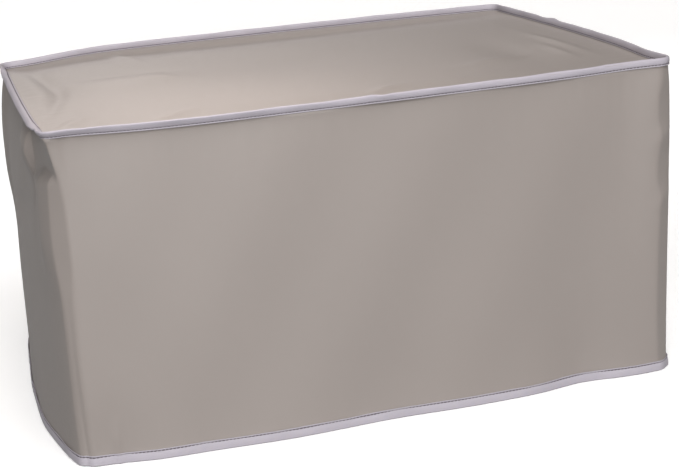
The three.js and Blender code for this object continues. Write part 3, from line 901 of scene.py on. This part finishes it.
def row_of_stitches():
    """Stitches laid along a closed line of points that hold the way out of the cloth."""
    nodes, given, result = new_group(
        "row_of_stitches", "GeometryNodeTree",
        [("Needle Line", "Geometry"), ("Pitch", "Float", 0.003), ("Stitch Length", "Float", 0.0026),
         ("Thread Width", "Float", 0.0005), ("Slant", "Float", 0.1), ("Seed", "Int", 4),
         ("Material", "Material")],
        [("Stitches", "Geometry")])

    def step(kind, inputs, **settings):
        return nodes.add(kind, inputs, **settings).outputs[0]

    line = step("GeometryNodeMeshToCurve", {"Mesh": given["Needle Line"]})
    line = step("GeometryNodeResampleCurve", {"Curve": line, "Length": given["Pitch"]}, mode="LENGTH")
    tangent = step("GeometryNodeInputTangent", {})
    facing = step("GeometryNodeInputNamedAttribute", {"Name": "facing"}, data_type="FLOAT_VECTOR")
    turn = step("FunctionNodeAlignRotationToVector", {"Vector": tangent}, axis="X")
    turn = step("FunctionNodeAlignRotationToVector", {"Rotation": turn, "Vector": facing},
                axis="Z", pivot_axis="X")
    spread = {2: LEAST_SLANT, 3: MOST_SLANT, "Seed": given["Seed"]}
    jitter = nodes.add("FunctionNodeRandomValue", spread, data_type="FLOAT")
    angle = nodes.math("MULTIPLY", given["Slant"], jitter.outputs[1])
    spin = step("FunctionNodeAxisAngleToRotation", {"Axis": (0, 0, 1), "Angle": angle})
    turn = step("FunctionNodeRotateRotation", {"Rotation": turn, "Rotate By": spin}, rotation_space="LOCAL")
    stitch = step("GeometryNodeMeshUVSphere", {"Segments": 7, "Rings": 5, "Radius": 0.5})
    width = given["Thread Width"]
    size = step("ShaderNodeCombineXYZ", {"X": given["Stitch Length"], "Y": width, "Z": width})
    laid = {"Points": line, "Instance": stitch, "Rotation": turn, "Scale": size}
    laid = step("GeometryNodeInstanceOnPoints", laid)
    laid = step("GeometryNodeSetShadeSmooth", {"Geometry": laid})
    laid = step("GeometryNodeRealizeInstances", {"Geometry": laid})
    laid = step("GeometryNodeSetMaterial", {"Geometry": laid, "Material": given["Material"]})
    nodes.fill(result, {0: laid})
    return nodes.tree


def sew(name, frames, lines, stitches):
    """A piece with stitches along lines. lines: distance out of the face, height, and facing side."""
    mesh = bpy.data.meshes.new(name)
    rows = [frames.at(across, up) for across, up, _ in lines]
    n = len(frames.line)
    edges = [(k * n + i, k * n + (i + 1) % n) for k in range(len(lines)) for i in range(n)]
    mesh.from_pydata(((np.concatenate(rows) + FOOTPRINT_SHIFT) * MM).tolist(), edges, [])
    facing = np.concatenate([frames.face_at(up) * side for _, up, side in lines]).astype(np.float32)
    mesh.attributes.new("facing", "FLOAT_VECTOR", "POINT").data.foreach_set("vector", facing.ravel())
    piece = bpy.data.objects.new(name, mesh)
    bpy.context.scene.collection.objects.link(piece)
    laid = piece.modifiers.new("stitches", "NODES")
    laid.node_group = shared_group(row_of_stitches)
    settings = {
        "Pitch": stitches.pitch,
        "Stitch Length": stitches.length,
        "Thread Width": stitches.thread_width,
        "Slant": stitches.slant,
        "Seed": stitches.seed,
        "Material": shared_material(sewing_thread, stitches),
    }
    for item in laid.node_group.interface.items_tree:
        if item.in_out == "INPUT" and item.name in settings:
            laid[item.identifier] = settings[item.name]
    depsgraph = bpy.context.evaluated_depsgraph_get()
    plain = bpy.data.meshes.new_from_object(piece.evaluated_get(depsgraph))
    piece.modifiers.clear()
    piece.data = plain
    return piece


# Settings

def length_setting(name, description, default):
    return FloatProperty(name=name, description=description, default=default, unit="LENGTH", precision=5)


def share_setting(name, description, default):
    return FloatProperty(name=name, description=description, default=default, min=0, max=1)


def colour_setting(name, description, default):
    return FloatVectorProperty(
        name=name, description=description, default=default, subtype="COLOR", min=0, max=1)


class CoverSizes(bpy.types.PropertyGroup):
    """Sizes that the cover is cut to."""

    width: length_setting("Width", "Width of the top between its seams", 0.5)
    depth: length_setting("Depth", "Depth of the top between its seams", 0.375)
    seam_height: length_setting("Seam Height", "Height of the top seam's foot", 0.263)
    corner_radius: length_setting("Corner Radius", "Radius of the four upright corners", 0.011)
    cloth: length_setting("Cloth", "Thickness of the coated cloth", 0.0005)
    tape: length_setting("Tape", "Thickness of the binding tape", 0.00045)


class ClothLook(bpy.types.PropertyGroup):
    """Look of the coated cloth."""

    colour: colour_setting("Colour", "Colour of the coating", (0.32, 0.282, 0.262))
    roughness: share_setting("Roughness", "How matt the coating is", 0.42)
    roughness_spread: share_setting("Roughness Spread", "How uneven the coating's shine is", 0.08)
    unevenness: share_setting("Unevenness", "How uneven the dye is", 0.02)
    thread_pitch: length_setting("Thread Pitch", "Distance between threads", 0.0006)
    weave_relief: length_setting("Weave Relief", "How far threads stand up", 0.00002)
    crinkle_relief: length_setting("Crinkle Relief", "Depth of the fine crinkle", 0.00006)
    # Painted shade between the threads: its tone and how strongly it shows
    gap_shade: share_setting("Gap Shade", "Tone between threads", 0.7)
    gap_depth: share_setting("Gap Depth", "How much the gaps show", 0.25)


class TapeLook(bpy.types.PropertyGroup):
    """Look of the binding tape."""

    colour: colour_setting("Colour", "Colour of the tape", (0.45, 0.418, 0.466))
    roughness: share_setting("Roughness", "How matt the tape is", 0.62)
    roughness_spread: share_setting("Roughness Spread", "How uneven the tape's shine is", 0.1)
    unevenness: share_setting("Unevenness", "How uneven the dye is", 0.05)
    thread_pitch: length_setting("Thread Pitch", "Distance between threads", 0.0004)
    weave_relief: length_setting("Weave Relief", "How far threads stand up", 0.00003)
    crinkle_relief: length_setting("Crinkle Relief", "Depth of the fine crinkle", 0.00012)
    # Painted shade between the threads: its tone and how strongly it shows
    gap_shade: share_setting("Gap Shade", "Tone between threads", 0.75)
    gap_depth: share_setting("Gap Depth", "How much the gaps show", 0.3)
    # Painted shade of the stitch groove: the tape's colour is darkened along the needle line
    needle_shade: share_setting("Needle Shade", "Tone of the tape along the needle line", 0.35)
    needle_depth: share_setting("Needle Depth", "How much the needle line shows", 0.55)
    pucker_pitch: length_setting("Pucker Pitch", "Distance between needle puckers", 0.003)
    pucker_relief: length_setting("Pucker Relief", "Depth of needle puckers", 0.00008)


class StitchLook(bpy.types.PropertyGroup):
    """Stitches that hold the tapes."""

    colour: colour_setting("Colour", "Colour of the thread", (0.12, 0.1, 0.115))
    pitch: length_setting("Pitch", "Distance between stitches", 0.003)
    length: length_setting("Length", "Length of a stitch", 0.003)
    thread_width: length_setting("Thread Width", "Width of the thread", 0.0009)
    slant: FloatProperty(name="Slant", description="Slant of a stitch", default=0.06, subtype="ANGLE")
    seed: IntProperty(name="Seed", description="Changes the small differences between stitches", default=4)


class StageLook(bpy.types.PropertyGroup):
    """Floor and light."""

    floor: colour_setting("Floor", "Colour of the floor", (0.96, 0.96, 0.96))
    floor_bounce: share_setting("Floor Bounce", "Share of the floor's light that reaches the cover", 0.3)
    floor_glow: FloatProperty(
        name="Floor Glow", description="Light that only the camera sees on the floor", default=0.2, min=0)
    backdrop: FloatProperty(name="Backdrop", description="Brightness of the backdrop", default=1.0, min=0)
    fill: FloatProperty(name="Fill", description="Brightness from all round", default=0.02, min=0)


# Camera: from the middle of the footprint, in metres and degrees, and the lens in millimetres
# for a picture of 679 by 467 and a sensor of the given width
CAMERA_PLACE = (-0.3332, -1.33496, 0.49396)
CAMERA_AZIMUTH = -14.873
CAMERA_ELEVATION = 15.724
CAMERA_ROLL = -4.036
CAMERA_LENS = 83.24
CAMERA_SENSOR = 36

# Soft lights: where each stands and what it looks at in metres, how wide it is in degrees
# for a far one or in metres for a near one, its strength and its colour
LIGHTS = table(
    "Light", "name kind place target width power colour",
    ("overhead", "SUN", (0, -0.2, 3.0), (0, 0, 0), 30, 0.8, (1, 0.94, 0.9)),
    ("high front", "SUN", (0.5, -2.0, 3.0), (0, 0, 0), 30, 0.95, (1, 1, 1)),
    ("front left", "SUN", (-1.2, -3.0, 2.0), (0, 0, 0), 30, 1.95, (1, 1, 1)),
    ("back window", "SUN", (0, 3.0, 1.1), (0, 0, 0), 20, 0.18, (1, 0.92, 0.88)),
    ("right window", "SUN", (0.6, 3.0, 1.1), (0, 0, 0), 20, 0.1, (1, 0.94, 0.92)),
    ("over the front edge", "AREA", (-0.12, -0.165, 0.45), (-0.1, -0.14, 0.26), 0.2, 0.35, (1, 0.91, 0.84)),
    ("low front", "AREA", (-0.2, -1.6, 0.35), (-0.05, -0.2, 0.12), 0.5, 5.6, (1, 1, 1)),
    ("low back", "AREA", (0.4, 1.6, 0.1), (0, 0.19, 0.1), 0.2, 6, (1, 1, 1)),
)
FLOOR_HALF = 6
FLOOR_PATCH = 0.6
FLOOR_ROUGHNESS = 0.6


# Operators

class CoverPiece:
    """What every operator that makes a piece shares."""

    bl_options = {"REGISTER"}

    def execute(self, context):
        self.make(context.scene, Stations(context.scene.cover_sizes))
        return {"FINISHED"}

    def cut(self, scene, name, node, points, quads, maps):
        """A piece of coated cloth, cut from its middle surface, in the place of a solid."""
        sheet = thickened(points, quads, maps, scene.cover_sizes.cloth / MM)
        piece = mesh_piece(name, *sheet, shared_material(coated_cloth, scene.cover_cloth))
        return sewn_in(piece, node)

    def bind(self, scene, stations, frames, names, node, section, half, needle, folds=()):
        """Tape folded along an edge in the place of a solid, and the stitches on its two sides."""
        thickness = scene.cover_sizes.tape / MM
        material = shared_material(bias_tape, scene.cover_tape)
        tape = folded_tape(names[0], stations, frames, section, needle, thickness, material, folds)
        sewn_in(tape, node)
        side = half - NEEDLE_PINCH + thickness / 2 + THREAD_LIFT
        lines = [(side, needle, 1), (-side, needle, -1)]
        return tape, sewn_in(sew(names[1], frames, lines, scene.cover_stitches))


class OVENCOVER_OT_cut_top_panel(CoverPiece, bpy.types.Operator):
    """Cut the top panel, with its edges turned up into the seam"""

    bl_idname = "oven_cover.cut_top_panel"
    bl_label = "Cut Top Panel"

    def make(self, scene, stations):
        piece = self.cut(scene, "top_panel_cloth", "top_panel", *top_panel_surface(stations))


class OVENCOVER_OT_hang_side_wall(CoverPiece, bpy.types.Operator):
    """Hang the side wall from the seam, all the way round"""

    bl_idname = "oven_cover.hang_side_wall"
    bl_label = "Hang Side Wall"

    def make(self, scene, stations):
        rows, downs = side_wall_surface(stations)
        quads, maps = closed_quads(len(rows), stations.count), closed_maps(stations, downs)
        piece = self.cut(scene, "side_wall_cloth", "side_wall", rows.reshape(-1, 3), quads, maps)


class OVENCOVER_OT_bind_top_seam(CoverPiece, bpy.types.Operator):
    """Fold tape over the top seam and sew it down"""

    bl_idname = "oven_cover.bind_top_seam"
    bl_label = "Bind Top Seam"

    def make(self, scene, stations):
        piece, stitches = self.bind(
            scene, stations, seam_frames(stations), ("top_tape", "top_stitches"), "top_binding",
            top_tape_section(), TOP_TAPE_HALF, TOP_NEEDLE, TOP_TAPE_FOLDS)


class OVENCOVER_OT_bind_hem(CoverPiece, bpy.types.Operator):
    """Fold tape round the hem and sew it down"""

    bl_idname = "oven_cover.bind_hem"
    bl_label = "Bind Hem"

    def make(self, scene, stations):
        piece, stitches = self.bind(
            scene, stations, hem_frames(stations), ("hem_tape", "hem_stitches"), "hem_binding",
            hem_tape_section(scene.cover_sizes.tape / MM), HEM_TAPE_HALF, HEM_NEEDLE)


class OVENCOVER_OT_set_stage(bpy.types.Operator):
    """Lay the floor, hang the lights and place the camera"""

    bl_idname = "oven_cover.set_stage"
    bl_label = "Set Stage"

    def execute(self, context):
        scene, look = context.scene, context.scene.cover_stage
        scene.view_settings.view_transform = "Standard"
        self.lay_floor(scene, look)
        for light in LIGHTS:
            self.hang_light(scene, light)
        self.light_backdrop(scene, look)
        self.place_camera(scene)
        return {"FINISHED"}

    def lay_floor(self, scene, look):
        mesh = bpy.data.meshes.new("floor")
        corners = [(x * FLOOR_HALF, y * FLOOR_HALF, 0) for x, y in ((-1, -1), (1, -1), (1, 1), (-1, 1))]
        mesh.from_pydata(corners, [], [(0, 1, 2, 3)])
        material, nodes = new_material("pale_floor")
        place = nodes.add("ShaderNodeTexCoord").outputs["Object"]
        tone = nodes.group(uneven_tone, {"Place": place, "Patch Size": FLOOR_PATCH})
        rough = nodes.math("ADD", nodes.math("MULTIPLY", tone["Patches"], 0.1), FLOOR_ROUGHNESS)
        seen = nodes.add("ShaderNodeLightPath").outputs["Is Camera Ray"]
        colour = nodes.mix(seen, tinted(look.floor, look.floor_bounce), tinted(look.floor, 1))
        finish_material(nodes, {
            "Base Color": colour,
            "Roughness": rough,
            "Specular IOR Level": 0.2,
            "Emission Color": (1, 1, 1, 1),
            "Emission Strength": nodes.math("MULTIPLY", seen, look.floor_glow),
        })
        mesh.materials.append(material)
        floor = bpy.data.objects.new("floor", mesh)
        scene.collection.objects.link(floor)

    def hang_light(self, scene, light):
        lamp = bpy.data.lights.new(light.name, light.kind)
        lamp.energy, lamp.color = light.power, light.colour
        if light.kind == "SUN":
            lamp.angle = math.radians(light.width)
        else:
            lamp.size = light.width
        holder = bpy.data.objects.new(light.name, lamp)
        holder.location = light.place
        looking = Vector(light.target) - Vector(light.place)
        holder.rotation_euler = looking.to_track_quat("-Z", "Y").to_euler()
        holder.visible_camera = False
        scene.collection.objects.link(holder)

    def light_backdrop(self, scene, look):
        world = bpy.data.worlds.new("studio")
        world.use_nodes = True
        world.node_tree.nodes.clear()
        nodes = Nodes(world.node_tree)
        seen = nodes.add("ShaderNodeLightPath").outputs["Is Camera Ray"]
        strength = nodes.math("ADD", look.fill, nodes.math("MULTIPLY", seen, look.backdrop - look.fill))
        background = nodes.add("ShaderNodeBackground", {"Color": (1, 1, 1, 1), "Strength": strength})
        nodes.add("ShaderNodeOutputWorld", {"Surface": background.outputs[0]})
        scene.world = world

    def place_camera(self, scene):
        azimuth, elevation = math.radians(CAMERA_AZIMUTH), math.radians(CAMERA_ELEVATION)
        roll, flat = math.radians(CAMERA_ROLL), math.cos(elevation)
        back = Vector((math.sin(azimuth) * flat, -math.cos(azimuth) * flat, math.sin(elevation)))
        level = Vector((math.cos(azimuth), math.sin(azimuth), 0))
        upright = back.cross(level)
        right = level * math.cos(roll) + upright * math.sin(roll)
        up = upright * math.cos(roll) - level * math.sin(roll)
        camera = bpy.data.objects.new("camera", bpy.data.cameras.new("camera"))
        camera.data.lens = CAMERA_LENS
        camera.data.sensor_width = CAMERA_SENSOR
        turned = Matrix((right, up, back)).transposed().to_4x4()
        camera.matrix_world = Matrix.Translation(CAMERA_PLACE) @ turned
        scene.collection.objects.link(camera)
        scene.camera = camera


class OVENCOVER_PT_steps(bpy.types.Panel):
    """Steps and settings of the cover"""

    bl_idname = "OVENCOVER_PT_steps"
    bl_label = "Oven Cover"
    bl_space_type = "VIEW_3D"
    bl_region_type = "UI"
    bl_category = "Oven Cover"

    def draw(self, context):
        for group in SETTINGS:
            box = self.layout.box()
            box.label(text=group.__doc__.rstrip("."))
            settings = getattr(context.scene, SETTINGS[group])
            for name in group.__annotations__:
                box.prop(settings, name)
        for step in STEPS:
            self.layout.operator(step.bl_idname)


SETTINGS = {
    CoverSizes: "cover_sizes",
    ClothLook: "cover_cloth",
    TapeLook: "cover_tape",
    StitchLook: "cover_stitches",
    StageLook: "cover_stage",
}
STEPS = (
    OVENCOVER_OT_cut_top_panel,
    OVENCOVER_OT_hang_side_wall,
    OVENCOVER_OT_bind_top_seam,
    OVENCOVER_OT_bind_hem,
    OVENCOVER_OT_set_stage,
)


def register():
    for group, name in SETTINGS.items():
        bpy.utils.register_class(group)
        setattr(bpy.types.Scene, name, PointerProperty(type=group))
    for step in (*STEPS, OVENCOVER_PT_steps):
        bpy.utils.register_class(step)


def unregister():
    for step in (OVENCOVER_PT_steps, *reversed(STEPS)):
        bpy.utils.unregister_class(step)
    for group, name in reversed(SETTINGS.items()):
        delattr(bpy.types.Scene, name)
        bpy.utils.unregister_class(group)


def main():
    register()
    bpy.ops.oven_cover.cut_top_panel()
    bpy.ops.oven_cover.hang_side_wall()
    bpy.ops.oven_cover.bind_top_seam()
    bpy.ops.oven_cover.bind_hem()
    bpy.ops.oven_cover.set_stage()


if __name__ == "__main__":
    main()
